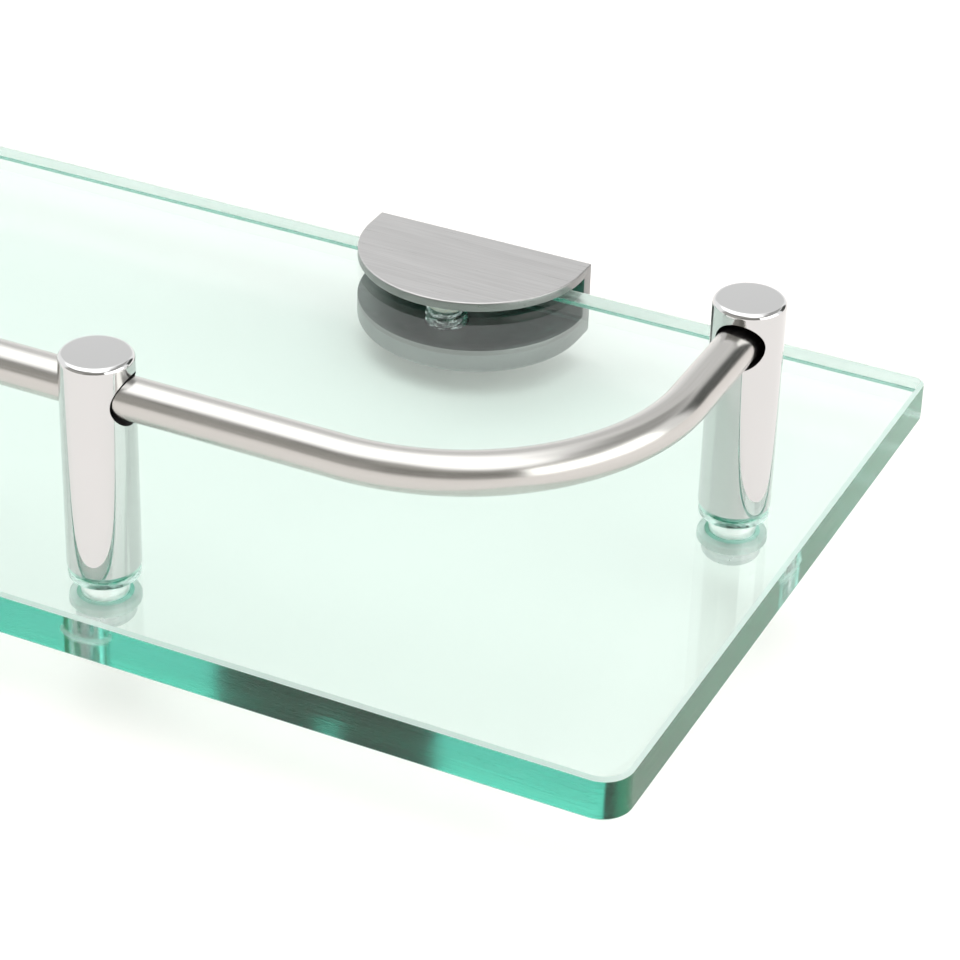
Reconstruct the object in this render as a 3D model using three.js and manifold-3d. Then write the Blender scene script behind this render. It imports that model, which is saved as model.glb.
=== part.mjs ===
// Glass wall shelf held by two D-shaped wall clamps, with a bent guard rail on four posts.
//
// Units are millimetres. +X runs along the shelf, +Y points into the wall and +Z is up.
// The origin lies on the wall plane, midway between the clamps, at the height of their
// wall-fixing holes. The shelf reaches out from the wall towards -Y.

import * as THREE from 'three';
import { mergeVertices } from 'three/addons/utils/BufferGeometryUtils.js';
import Module from 'manifold-3d';

const wasm = await Module();
wasm.setup();

// ---------------------------------------------------------------- driving dimensions

// Glass shelf
const SHELF_WIDTH = 500;
const SHELF_DEPTH = 135;
const GLASS_THICKNESS = 8;
const GLASS_TOP = 6;
const FRONT_CORNER_RADIUS = 5;
const BACK_CORNER_RADIUS = 2;
const GLASS_ARRIS = 0.6;
const GLASS_HOLE_RADIUS = 4;

// Wall clamps: a half-round plan with short straight flanks
const CLAMP_SPACING = 319;
const CLAMP_RADIUS = 22;
const CLAMP_FLANK = 4.5;
const CLAMP_WALL = 3;
const UPPER_JAW = 1.8;
const LOWER_JAW = 5;
const THROAT_TOP = 6.6;
const THROAT_BOTTOM = -6.4;
const UPPER_JAW_EDGE = 0.3;
const LOWER_JAW_EDGE = 1.4;
const WALL_HOLE_RADIUS = 2.5;
const WALL_COUNTERSINK_RADIUS = 4.7;
const GLASS_SETBACK = 6.5;

// Pads that keep the metal off the glass
const JAW_PAD_THICKNESS = 0.5;
const JAW_PAD_INSET = 1.2;
const JAW_PAD_REACH = 19;

// Set screw in the lower jaw, with a swivelling tip
const SET_SCREW_RADIUS = 4;
const SET_SCREW_LENGTH = 9;
const SET_SCREW_FROM_WALL = 16;
const SET_SCREW_CHAMFER = 0.7;
const SET_SCREW_SOCKET_FLATS = 4;
const SET_SCREW_SOCKET_DEPTH = 4;
const TIP_RADIUS = 3.6;
const TIP_THICKNESS = 1;
const TIP_STEM_RADIUS = 1.4;
const TIP_STEM_LENGTH = 1.6;

// Posts and guard rail
const POST_RADIUS = 6;
const POST_TOP_ABOVE_GLASS = 40.2;
const POST_TOP_ROUND = 1;
const POST_FOOT_CHAMFER = 0.8;
const POST_FOOT_CHAMFER_HEIGHT = 1.1;
const FRONT_POST_FROM_END = 95.7;
const SIDE_POST_FROM_END = 13.8;
const FRONT_POST_FROM_FRONT = 13.2;
const SIDE_POST_FROM_FRONT = 77.4;
const RAIL_RADIUS = 3.5;
const RAIL_BORE_RADIUS = 2.7;
const RAIL_ABOVE_GLASS = 33.7;
const RAIL_BEND_RADIUS = 39.7;
const RAIL_SOCKET_PAST_AXIS = 3;
const RAIL_END_PAST_AXIS = 2.5;

// The rail's holes are wider than the rail, which lies off their centres
const RAIL_HOLE_RADIUS = 4.2;
const FRONT_HOLE_DROP = 0.4;
const FRONT_HOLE_SETBACK = 0.3;
const SIDE_HOLE_LIFT = 0.3;
const SIDE_HOLE_OUTWARD = 0.45;

// Washers and screws that hold the posts
const SEAT_WASHER_RADIUS = 5.85;
const SEAT_WASHER_THICKNESS = 1;
const SEAT_COLLAR_RADIUS = 3.7;
const SEAT_COLLAR_LENGTH = 3.5;
const UNDER_WASHER_THICKNESS = 1.5;
const WASHER_EDGE = 0.4;
const WASHER_HOLE_RADIUS = 2.8;
const POST_SCREW_RADIUS = 2.5;
const POST_SCREW_GRIP = 8;
const POST_SCREW_NOSE_RADIUS = 2;
const POST_SCREW_NOSE_HEIGHT = 0.5;
const POST_SCREW_HEAD_RADIUS = 5;
const POST_SCREW_HEAD_HEIGHT = 3;
const POST_SCREW_HEAD_EDGE = 1.2;
const POST_SCREW_SOCKET_FLATS = 3;
const POST_SCREW_SOCKET_DEPTH = 1.8;
const POST_BORE_DEPTH = 12;

// Play
const FACE_GAP = 0.1;
const PAD_GAP = 0.05;
const THREAD_GAP = 0.1;

// How far a cutting tool runs past the face it enters
const OVERSHOOT = 1;

// Facets round a full circle
const FINE = 32;
const MEDIUM = 24;
const COARSE = 20;

// Steps round a bend of the rail, a rounding and a round stretch of the plate's outline
const BEND_STEPS = 14;
const ROUNDING_STEPS = 4;
const PLATE_ARC_STEPS = 10;

// ---------------------------------------------------------------- places worked out

const halfWidth = SHELF_WIDTH / 2;
const glassBottom = GLASS_TOP - GLASS_THICKNESS;
const glassBack = -GLASS_SETBACK;
const glassFront = glassBack - SHELF_DEPTH;
const clampTop = THROAT_TOP + UPPER_JAW;
const clampBottom = THROAT_BOTTOM - LOWER_JAW;
const frontPostX = halfWidth - FRONT_POST_FROM_END;
const frontPostY = glassFront + FRONT_POST_FROM_FRONT;
const sidePostX = halfWidth - SIDE_POST_FROM_END;
const sidePostY = glassFront + SIDE_POST_FROM_FRONT;
const railHeight = GLASS_TOP + RAIL_ABOVE_GLASS;
const postTop = GLASS_TOP + POST_TOP_ABOVE_GLASS;
const seatBottom = GLASS_TOP + FACE_GAP;
const postBottom = seatBottom + SEAT_WASHER_THICKNESS + FACE_GAP;
const underWasherTop = glassBottom - FACE_GAP;
const screwSeat = underWasherTop - UNDER_WASHER_THICKNESS - FACE_GAP;
const tipTop = glassBottom - FACE_GAP;
const setScrewTop = tipTop - TIP_THICKNESS - FACE_GAP;
const setScrewBottom = setScrewTop - SET_SCREW_LENGTH;

// ---------------------------------------------------------------- finishes

const FINISHES = {
  glass: { color: 0xdff3ea, roughness: 0.03, metalness: 0, transparent: true, opacity: 0.4 },
  chrome: { color: 0xd6d8d8, roughness: 0.06, metalness: 1 },
  brushed: { color: 0xbdb9b3, roughness: 0.3, metalness: 1 },
  satin: { color: 0xa9a8a6, roughness: 0.38, metalness: 1 },
  zinc: { color: 0xb9bcbb, roughness: 0.35, metalness: 1 },
  plastic: { color: 0xd5e6df, roughness: 0.15, metalness: 0, transparent: true, opacity: 0.6 },
};

// ---------------------------------------------------------------- helpers

/** A closed geometry as a solid that can be joined and cut. */
function toSolid(geometry) {
  const bare = geometry.clone();
  bare.deleteAttribute('normal');
  bare.deleteAttribute('uv');
  const merged = mergeVertices(bare, 1e-4);
  const index = merged.index.array;
  const triVerts = [];
  for (let i = 0; i < index.length; i += 3) {
    const [a, b, c] = [index[i], index[i + 1], index[i + 2]];
    const flat = a === b || b === c || c === a;
    if (!flat) triVerts.push(a, b, c);
  }
  const vertProperties = new Float32Array(merged.attributes.position.array);
  const mesh = new wasm.Mesh({ numProp: 3, vertProperties, triVerts: new Uint32Array(triVerts) });
  return new wasm.Manifold(mesh);
}

/** A solid back as a geometry. */
function toGeometry(solid) {
  const mesh = solid.getMesh();
  const positions = [];
  for (let i = 0; i < mesh.vertProperties.length; i += mesh.numProp) {
    positions.push(...mesh.vertProperties.subarray(i, i + 3));
  }
  const geometry = new THREE.BufferGeometry();
  geometry.setAttribute('position', new THREE.Float32BufferAttribute(positions, 3));
  geometry.setIndex(Array.from(mesh.triVerts));
  geometry.computeVertexNormals();
  return geometry;
}

/** The body with every tool cut away from it. */
function cut(body, ...tools) {
  let solid = toSolid(body);
  for (const tool of tools) solid = solid.subtract(toSolid(tool));
  return toGeometry(solid);
}

/** A body of revolution about Z. The profile is a list of [radius, height] points,
 *  upwards along the outside, on the axis at both ends or closed on itself. */
function turned(profile, facets) {
  const points = profile.map(([radius, height]) => new THREE.Vector2(radius, height));
  return new THREE.LatheGeometry(points, facets).rotateX(Math.PI / 2);
}

/** A round bar along Z from one height to another. */
function bar(radius, low, high, facets) {
  return turned([[0, low], [radius, low], [radius, high], [0, high]], facets);
}

/** Points of a quarter round, from a start angle through 90 degrees, as [radius, height]. */
function quarterRound(centreRadius, centreHeight, size, startAngle) {
  const points = [];
  for (let i = 0; i <= ROUNDING_STEPS; i += 1) {
    const angle = startAngle + (Math.PI / 2) * (i / ROUNDING_STEPS);
    points.push([centreRadius + size * Math.cos(angle), centreHeight + size * Math.sin(angle)]);
  }
  return points;
}

/** A hexagonal socket tool along Z, measured across its flats. */
function hexTool(flats, low, high) {
  const cornerRadius = flats / Math.sqrt(3);
  return bar(cornerRadius, low, high, 6);
}

const shelf = new THREE.Group();

/** Adds one named piece, with a material of its own, at a place in the shelf's frame. */
function addPiece(name, geometry, finish, x, y, z) {
  const material = new THREE.MeshStandardMaterial(FINISHES[finish]);
  const mesh = new THREE.Mesh(geometry, material);
  mesh.name = name;
  mesh.position.set(x, y, z);
  shelf.add(mesh);
}

// ---------------------------------------------------------------- glass shelf

/** Tempered plate with rounded corners, arrised edges and four drilled post holes. */
function glassPlate() {
  const right = halfWidth - GLASS_ARRIS;
  const front = glassFront + GLASS_ARRIS;
  const back = glassBack - GLASS_ARRIS;
  const frontRound = FRONT_CORNER_RADIUS - GLASS_ARRIS;
  const backRound = BACK_CORNER_RADIUS - GLASS_ARRIS;
  const quarter = Math.PI / 2;
  const outline = new THREE.Shape();
  outline.absarc(right - frontRound, front + frontRound, frontRound, -quarter, 0, false);
  outline.absarc(right - backRound, back - backRound, backRound, 0, quarter, false);
  outline.absarc(-right + backRound, back - backRound, backRound, quarter, 2 * quarter, false);
  outline.absarc(-right + frontRound, front + frontRound, frontRound, 2 * quarter, 3 * quarter, false);
  for (const place of postPlaces()) {
    const hole = new THREE.Path();
    hole.absarc(place.x, place.y, GLASS_HOLE_RADIUS + GLASS_ARRIS, 0, 2 * Math.PI, true);
    outline.holes.push(hole);
  }
  const plate = new THREE.ExtrudeGeometry(outline, {
    depth: GLASS_THICKNESS - 2 * GLASS_ARRIS,
    curveSegments: PLATE_ARC_STEPS,
    bevelEnabled: true,
    bevelThickness: GLASS_ARRIS,
    bevelSize: GLASS_ARRIS,
    bevelSegments: 1,
  });
  return plate.translate(0, 0, glassBottom + GLASS_ARRIS);
}

// ---------------------------------------------------------------- guard rail

/** The rail's centre line: out of one side post, round two bends, into the other side post.
 *  Its stations sit close together round the bends and only at the ends of straight runs. */
class RailLine extends THREE.Curve {
  constructor(bendSteps) {
    super();
    const bendCentreX = sidePostX - RAIL_BEND_RADIUS;
    const bendCentreY = frontPostY + RAIL_BEND_RADIUS;
    const endY = sidePostY + RAIL_END_PAST_AXIS;
    this.stations = [];
    this.addStation(-sidePostX, endY, -Math.PI / 2);
    for (let i = 0; i <= bendSteps; i += 1) {
      const heading = -Math.PI / 2 + (Math.PI / 2) * (i / bendSteps);
      this.addBendStation(-bendCentreX, bendCentreY, heading);
    }
    for (let i = 0; i <= bendSteps; i += 1) {
      const heading = (Math.PI / 2) * (i / bendSteps);
      this.addBendStation(bendCentreX, bendCentreY, heading);
    }
    this.addStation(sidePostX, endY, Math.PI / 2);
  }

  addStation(x, y, heading) {
    const point = new THREE.Vector3(x, y, railHeight);
    const tangent = new THREE.Vector3(Math.cos(heading), Math.sin(heading), 0);
    this.stations.push({ point, tangent });
  }

  addBendStation(centreX, centreY, heading) {
    const x = centreX + RAIL_BEND_RADIUS * Math.sin(heading);
    const y = centreY - RAIL_BEND_RADIUS * Math.cos(heading);
    this.addStation(x, y, heading);
  }

  stationAt(u) {
    return this.stations[Math.round(u * (this.stations.length - 1))];
  }

  getPoint(t) {
    return this.stationAt(t).point.clone();
  }

  getPointAt(u) {
    return this.getPoint(u);
  }

  getTangentAt(u) {
    return this.stationAt(u).tangent.clone();
  }
}

/** Thin-walled tube, open at both ends. */
function guardRail() {
  const line = new RailLine(BEND_STEPS);
  const section = new THREE.Shape();
  section.absarc(0, 0, RAIL_RADIUS, 0, 2 * Math.PI, false);
  const bore = new THREE.Path();
  bore.absarc(0, 0, RAIL_BORE_RADIUS, 0, 2 * Math.PI, true);
  section.holes.push(bore);
  return new THREE.ExtrudeGeometry(section, {
    steps: line.stations.length - 1,
    curveSegments: COARSE / 2,
    extrudePath: line,
    bevelEnabled: false,
  });
}

// ---------------------------------------------------------------- posts and their fixings

/** The four posts: where each stands and how its hole for the rail is drilled. */
function postPlaces() {
  const places = [];
  for (const [side, sign] of [['left', -1], ['right', 1]]) {
    const frontName = `front_post_${side}`;
    const sideName = `side_post_${side}`;
    places.push({ name: frontName, x: sign * frontPostX, y: frontPostY, railHole: frontHole() });
    places.push({ name: sideName, x: sign * sidePostX, y: sidePostY, railHole: sideHole(sign) });
  }
  return places;
}

/** Tool for a front post's hole: right through along X. */
function frontHole() {
  const reach = POST_RADIUS + OVERSHOOT;
  const hole = bar(RAIL_HOLE_RADIUS, -reach, reach, COARSE).rotateY(Math.PI / 2);
  return hole.translate(0, FRONT_HOLE_SETBACK, railHeight - FRONT_HOLE_DROP);
}

/** Tool for a side post's hole: blind, drilled from the front along Y. */
function sideHole(sign) {
  const reach = POST_RADIUS + OVERSHOOT;
  const hole = bar(RAIL_HOLE_RADIUS, -reach, RAIL_SOCKET_PAST_AXIS, COARSE).rotateX(-Math.PI / 2);
  return hole.translate(sign * SIDE_HOLE_OUTWARD, 0, railHeight + SIDE_HOLE_LIFT);
}

/** Round post with a softened top, a chamfered foot, a tapped bore from below and a hole
 *  for the rail. */
function post(railHole) {
  const shoulder = POST_RADIUS - POST_TOP_ROUND;
  const body = turned([
    [0, postBottom],
    [POST_RADIUS - POST_FOOT_CHAMFER, postBottom],
    [POST_RADIUS, postBottom + POST_FOOT_CHAMFER_HEIGHT],
    ...quarterRound(shoulder, postTop - POST_TOP_ROUND, POST_TOP_ROUND, 0),
    [0, postTop],
  ], FINE);
  const boreRadius = POST_SCREW_RADIUS + THREAD_GAP;
  const boreTop = postBottom + POST_BORE_DEPTH;
  const bore = turned([
    [0, postBottom - OVERSHOOT],
    [boreRadius, postBottom - OVERSHOOT],
    [boreRadius, boreTop],
    [0, boreTop + boreRadius / 2],
  ], COARSE);
  return cut(body, bore, railHole);
}

/** Clear washer under a post, with a collar that lines the glass hole. */
function seatWasher() {
  const top = seatBottom + SEAT_WASHER_THICKNESS;
  const collarBottom = seatBottom - SEAT_COLLAR_LENGTH;
  return turned([
    [WASHER_HOLE_RADIUS, collarBottom],
    [SEAT_COLLAR_RADIUS, collarBottom],
    [SEAT_COLLAR_RADIUS, seatBottom],
    [SEAT_WASHER_RADIUS - WASHER_EDGE, seatBottom],
    [SEAT_WASHER_RADIUS, seatBottom + WASHER_EDGE],
    [SEAT_WASHER_RADIUS, top - WASHER_EDGE],
    [SEAT_WASHER_RADIUS - WASHER_EDGE, top],
    [WASHER_HOLE_RADIUS, top],
    [WASHER_HOLE_RADIUS, collarBottom],
  ], MEDIUM);
}

/** Plain clear washer between the glass and the screw head. */
function underWasher() {
  const low = underWasherTop - UNDER_WASHER_THICKNESS;
  return turned([
    [WASHER_HOLE_RADIUS, low],
    [SEAT_WASHER_RADIUS - WASHER_EDGE, low],
    [SEAT_WASHER_RADIUS, low + WASHER_EDGE],
    [SEAT_WASHER_RADIUS, underWasherTop],
    [WASHER_HOLE_RADIUS, underWasherTop],
    [WASHER_HOLE_RADIUS, low],
  ], MEDIUM);
}

/** Button-head screw that enters from below and pulls the post down on the glass. */
function postScrew() {
  const headBottom = screwSeat - POST_SCREW_HEAD_HEIGHT;
  const tip = postBottom + POST_SCREW_GRIP;
  const rounding = quarterRound(
    POST_SCREW_HEAD_RADIUS - POST_SCREW_HEAD_EDGE,
    headBottom + POST_SCREW_HEAD_EDGE,
    POST_SCREW_HEAD_EDGE,
    -Math.PI / 2,
  );
  const body = turned([
    [0, headBottom],
    ...rounding,
    [POST_SCREW_HEAD_RADIUS, screwSeat],
    [POST_SCREW_RADIUS, screwSeat],
    [POST_SCREW_RADIUS, tip - POST_SCREW_NOSE_HEIGHT],
    [POST_SCREW_NOSE_RADIUS, tip],
    [0, tip],
  ], COARSE);
  const socketTop = headBottom + POST_SCREW_SOCKET_DEPTH;
  return cut(body, hexTool(POST_SCREW_SOCKET_FLATS, headBottom - OVERSHOOT, socketTop));
}

// ---------------------------------------------------------------- wall clamps

/** Half-round outline with straight flanks, flat side on the wall plane, shrunk by an inset. */
function clampOutline(inset) {
  const radius = CLAMP_RADIUS - inset;
  const outline = new THREE.Shape();
  outline.moveTo(radius, -inset);
  outline.lineTo(-radius, -inset);
  outline.lineTo(-radius, -CLAMP_FLANK);
  outline.absarc(0, -CLAMP_FLANK, radius, Math.PI, 2 * Math.PI, false);
  outline.lineTo(radius, -inset);
  return outline;
}

/** A slab of the clamp's plan with the same chamfer round both faces. */
function clampSlab(low, high, edge) {
  const slab = new THREE.ExtrudeGeometry(clampOutline(edge), {
    depth: high - low - 2 * edge,
    curveSegments: FINE,
    bevelEnabled: true,
    bevelThickness: edge,
    bevelSize: edge,
    bevelSegments: 1,
  });
  return slab.translate(0, 0, low + edge);
}

/** One-piece clamp: two jaws and a back wall, with the wall hole and the set screw's hole. */
function clampBody() {
  const overlap = 2;
  const upper = toSolid(clampSlab(-overlap, clampTop, UPPER_JAW_EDGE));
  const lower = toSolid(clampSlab(clampBottom, overlap, LOWER_JAW_EDGE));
  const throatReach = 60;
  const throatHeight = THROAT_TOP - THROAT_BOTTOM;
  const throat = new THREE.BoxGeometry(throatReach, throatReach, throatHeight);
  throat.translate(0, -CLAMP_WALL - throatReach / 2, THROAT_BOTTOM + throatHeight / 2);
  const sinkDepth = WALL_COUNTERSINK_RADIUS - WALL_HOLE_RADIUS;
  const wallHole = turned([
    [0, -OVERSHOOT],
    [WALL_HOLE_RADIUS, -OVERSHOOT],
    [WALL_HOLE_RADIUS, CLAMP_WALL - sinkDepth],
    [WALL_COUNTERSINK_RADIUS, CLAMP_WALL],
    [WALL_COUNTERSINK_RADIUS, CLAMP_WALL + OVERSHOOT],
    [0, CLAMP_WALL + OVERSHOOT],
  ], MEDIUM).rotateX(Math.PI / 2);
  const screwHole = bar(
    SET_SCREW_RADIUS + THREAD_GAP,
    clampBottom - OVERSHOOT,
    THROAT_BOTTOM + OVERSHOOT,
    MEDIUM,
  ).translate(0, -SET_SCREW_FROM_WALL, 0);
  let solid = upper.add(lower);
  for (const tool of [throat, wallHole, screwHole]) solid = solid.subtract(toSolid(tool));
  return toGeometry(solid);
}

/** Thin clear pad under the upper jaw, shaped like its front part. */
function jawPad() {
  const radius = CLAMP_RADIUS - JAW_PAD_INSET;
  const backY = -CLAMP_FLANK - CLAMP_RADIUS + JAW_PAD_INSET + JAW_PAD_REACH;
  const backAngle = Math.asin((backY + CLAMP_FLANK) / radius);
  const outline = new THREE.Shape();
  outline.absarc(0, -CLAMP_FLANK, radius, Math.PI - backAngle, 2 * Math.PI + backAngle, false);
  outline.closePath();
  const pad = new THREE.ExtrudeGeometry(outline, {
    depth: JAW_PAD_THICKNESS,
    curveSegments: MEDIUM,
    bevelEnabled: false,
  });
  return pad.translate(0, 0, GLASS_TOP + PAD_GAP);
}

/** Set screw with a hexagonal socket below and a bore above for the tip's stem. */
function setScrew() {
  const body = turned([
    [0, setScrewBottom],
    [SET_SCREW_RADIUS - SET_SCREW_CHAMFER, setScrewBottom],
    [SET_SCREW_RADIUS, setScrewBottom + SET_SCREW_CHAMFER],
    [SET_SCREW_RADIUS, setScrewTop - SET_SCREW_CHAMFER],
    [SET_SCREW_RADIUS - SET_SCREW_CHAMFER, setScrewTop],
    [0, setScrewTop],
  ], MEDIUM);
  const socketTop = setScrewBottom + SET_SCREW_SOCKET_DEPTH;
  const socket = hexTool(SET_SCREW_SOCKET_FLATS, setScrewBottom - OVERSHOOT, socketTop);
  const stemBore = bar(
    TIP_STEM_RADIUS + THREAD_GAP,
    setScrewTop - TIP_STEM_LENGTH - 2 * FACE_GAP,
    setScrewTop + OVERSHOOT,
    COARSE,
  );
  return cut(body, socket, stemBore);
}

/** Swivelling plastic tip: a disc on a stem that sits in the screw's nose. */
function setScrewTip() {
  const discBottom = tipTop - TIP_THICKNESS;
  const edge = TIP_THICKNESS / 4;
  return turned([
    [0, discBottom - TIP_STEM_LENGTH],
    [TIP_STEM_RADIUS, discBottom - TIP_STEM_LENGTH],
    [TIP_STEM_RADIUS, discBottom],
    [TIP_RADIUS, discBottom],
    [TIP_RADIUS, tipTop - edge],
    [TIP_RADIUS - edge, tipTop],
    [0, tipTop],
  ], COARSE);
}

// ---------------------------------------------------------------- assembly

addPiece('glass_shelf', glassPlate(), 'glass', 0, 0, 0);
addPiece('guard_rail', guardRail(), 'brushed', 0, 0, 0);

for (const place of postPlaces()) {
  addPiece(place.name, post(place.railHole), 'chrome', place.x, place.y, 0);
  addPiece(`${place.name}_seat_washer`, seatWasher(), 'plastic', place.x, place.y, 0);
  addPiece(`${place.name}_under_washer`, underWasher(), 'plastic', place.x, place.y, 0);
  addPiece(`${place.name}_screw`, postScrew(), 'zinc', place.x, place.y, 0);
}

for (const [side, sign] of [['left', -1], ['right', 1]]) {
  const x = (sign * CLAMP_SPACING) / 2;
  const screwY = -SET_SCREW_FROM_WALL;
  addPiece(`wall_clamp_${side}`, clampBody(), 'satin', x, 0, 0);
  addPiece(`jaw_pad_${side}`, jawPad(), 'plastic', x, 0, 0);
  addPiece(`set_screw_${side}`, setScrew(), 'zinc', x, screwY, 0);
  addPiece(`set_screw_tip_${side}`, setScrewTip(), 'plastic', x, screwY, 0);
}

export default shelf;
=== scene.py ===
"""Glass wall shelf with two half-round clamps and a guard rail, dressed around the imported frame.

Lengths are metres. +X runs along the shelf, +Y points into the wall and +Z is up.
"""
import math

import bmesh
import bpy
from mathutils import Matrix, Vector
from mathutils.geometry import tessellate_polygon


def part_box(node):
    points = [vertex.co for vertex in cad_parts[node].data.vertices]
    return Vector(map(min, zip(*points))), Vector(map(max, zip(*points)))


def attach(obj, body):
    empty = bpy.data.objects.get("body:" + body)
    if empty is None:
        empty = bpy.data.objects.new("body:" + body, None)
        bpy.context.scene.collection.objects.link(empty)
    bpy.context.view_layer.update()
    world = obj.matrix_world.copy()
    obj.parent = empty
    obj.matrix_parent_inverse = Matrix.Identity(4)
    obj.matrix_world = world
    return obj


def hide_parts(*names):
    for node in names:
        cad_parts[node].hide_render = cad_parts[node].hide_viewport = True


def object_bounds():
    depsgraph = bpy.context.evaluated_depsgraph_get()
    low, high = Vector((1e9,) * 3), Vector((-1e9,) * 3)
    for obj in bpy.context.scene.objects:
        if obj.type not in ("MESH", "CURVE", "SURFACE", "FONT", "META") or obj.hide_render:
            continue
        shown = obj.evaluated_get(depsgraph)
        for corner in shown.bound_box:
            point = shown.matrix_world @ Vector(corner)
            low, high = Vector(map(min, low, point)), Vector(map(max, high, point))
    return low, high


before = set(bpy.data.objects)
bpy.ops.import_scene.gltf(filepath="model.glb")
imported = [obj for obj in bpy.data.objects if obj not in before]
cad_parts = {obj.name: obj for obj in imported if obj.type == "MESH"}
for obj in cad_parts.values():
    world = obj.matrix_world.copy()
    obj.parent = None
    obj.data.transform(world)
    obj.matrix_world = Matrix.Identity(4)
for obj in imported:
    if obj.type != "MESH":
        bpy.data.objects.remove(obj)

CAD_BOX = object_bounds()
MM = 0.001

# ------------------------------------------------------------------ sizes

GLASS_FRONT_RADIUS = 5 * MM
GLASS_BACK_RADIUS = 2 * MM
GLASS_ARRIS = 0.6 * MM
GLASS_HOLE_RADIUS = 4 * MM

RAIL_WALL = 0.8 * MM
RAIL_BEND_RADIUS = 39.7 * MM

POST_TOP_ROUND = 1 * MM
POST_FOOT_CHAMFER = 0.8 * MM
POST_FOOT_HEIGHT = 1.1 * MM
POST_BORE_RADIUS = 2.6 * MM
POST_BORE_DEPTH = 12 * MM
FRONT_HOLE_RADIUS = 4.3 * MM
FRONT_HOLE_OFFSET = (0, 0.4 * MM, -0.45 * MM)
SIDE_HOLE_RADIUS = 4.15 * MM
SIDE_HOLE_PAST_AXIS = 3 * MM
SIDE_HOLE_OUTWARD = 0.45 * MM
SIDE_HOLE_LIFT = 0.35 * MM

WASHER_HOLE_RADIUS = 2.8 * MM
WASHER_EDGE = 0.35 * MM
SEAT_COLLAR_RADIUS = 3.7 * MM
SEAT_WASHER_HEIGHT = 1 * MM

POST_THREAD_RADIUS = 2.5 * MM
POST_THREAD_PITCH = 0.8 * MM
POST_HEAD_HEIGHT = 3 * MM
POST_HEAD_EDGE = 1.5 * MM
POST_KEY_FLATS = 3 * MM
POST_KEY_DEPTH = 1.8 * MM

CLAMP_FLANK = 4.5 * MM
CLAMP_WALL = 3 * MM
THROAT_TOP = 6.6 * MM
THROAT_BOTTOM = -6.4 * MM
UPPER_JAW_EDGE = 0.3 * MM
LOWER_JAW_EDGE = 1.4 * MM
THROAT_EDGE = 0.15 * MM
WALL_HOLE_RADIUS = 2.5 * MM
COUNTERSINK_RADIUS = 4.7 * MM
PAD_EDGE = 0.1 * MM

SET_THREAD_PITCH = 1.25 * MM
SET_SCREW_CHAMFER = 0.7 * MM
SET_KEY_FLATS = 4 * MM
SET_KEY_DEPTH = 4 * MM
STEM_BORE_RADIUS = 1.5 * MM
STEM_BORE_DEPTH = 1.8 * MM
TIP_STEM_RADIUS = 1.4 * MM
TIP_DISC_HEIGHT = 1 * MM
TIP_SEAT_DEPTH = 1.2 * MM
THREAD_CLEARANCE = 0.1 * MM
THREAD_DEPTH_SHARE = 0.6134

# How far a cutting tool runs past the face it enters
OVERSHOOT = 1 * MM
# Straight run on each side of a bend, so that the bend starts with a full ring
BEND_LEAD = 0.5 * MM

# Steps round a full turn, a thread's turn and pitch, a plate corner, a bend and a rounding
TURN = 96
THREAD_TURN = 48
THREAD_ROWS = 8
CORNER_STEPS = 24
BEND_STEPS = 48
EDGE_STEPS = 6

QUARTER = math.pi / 2
SHARP_ANGLE = math.radians(32)
BEVEL_ANGLE = math.radians(60)
# A face counts as level where its normal is this close to upright
LEVEL_NORMAL = 0.99
TOLERANCE = 0.001 * MM

# A mix node's colour sockets, which share their names with its other types
MIX_FIRST, MIX_SECOND, MIX_RESULT = 6, 7, 2

# ------------------------------------------------------------------ places taken from the frame

glass_lo, glass_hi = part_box("glass_shelf")
rail_lo, rail_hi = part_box("guard_rail")
rail_radius = (rail_hi.z - rail_lo.z) / 2
rail_height = (rail_hi.z + rail_lo.z) / 2


def middle(node):
    """The centre of a node's box."""
    lo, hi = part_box(node)
    return (lo + hi) / 2


def half_width(node):
    """Half of a node's extent along X: the radius of a round piece that stands upright."""
    lo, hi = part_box(node)
    return (hi.x - lo.x) / 2


post_radius = half_width("front_post_right")


# ------------------------------------------------------------------ mesh helpers


def spread(start, end, steps):
    """Evenly spaced values from start to end, both included."""
    return [start + (end - start) * i / steps for i in range(steps + 1)]


def arc(x, y, radius, start, end, steps):
    """Points of an arc in plan, both ends included."""
    angles = spread(start, end, steps)
    return [(x + radius * math.cos(a), y + radius * math.sin(a)) for a in angles]


def circle(x, y, z, radius, steps):
    """A level ring of points; a ring without radius is one point."""
    if radius <= 0:
        return [(x, y, z)]
    angles = [2 * math.pi * i / steps for i in range(steps)]
    return [(x + radius * math.cos(a), y + radius * math.sin(a), z) for a in angles]


def join_rows(bm, low, high, material_index=0):
    """Faces between two rings of vertices; either ring may be a single pole."""
    count = max(len(low), len(high))
    for i in range(count):
        j = (i + 1) % count
        if len(low) == 1:
            corners = (low[0], high[j], high[i])
        elif len(high) == 1:
            corners = (low[i], low[j], high[0])
        else:
            corners = (low[i], low[j], high[j], high[i])
        bm.faces.new(corners).material_index = material_index


def loft(rings, closed=False):
    """A closed skin through rings of points: joined end to start, or capped at both ends."""
    bm = bmesh.new()
    rows = [[bm.verts.new(point) for point in ring] for ring in rings]
    for low, high in zip(rows, rows[1:]):
        join_rows(bm, low, high)
    if closed:
        join_rows(bm, rows[-1], rows[0])
    else:
        for row in (rows[0], rows[-1]):
            if len(row) > 1:
                bm.faces.new(row)
    bmesh.ops.recalc_face_normals(bm, faces=bm.faces)
    return bm


def lathe(x, y, profile, steps=TURN, closed=False):
    """A body of revolution about an upright axis; profile is a list of (radius, height)."""
    return loft([circle(x, y, z, radius, steps) for radius, z in profile], closed)


def rounding(radius, height, size, start):
    """A quarter round in a lathe's profile, from a start angle through 90 degrees."""
    angles = spread(start, start + QUARTER, EDGE_STEPS)
    return [(radius + size * math.cos(a), height + size * math.sin(a)) for a in angles]


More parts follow.
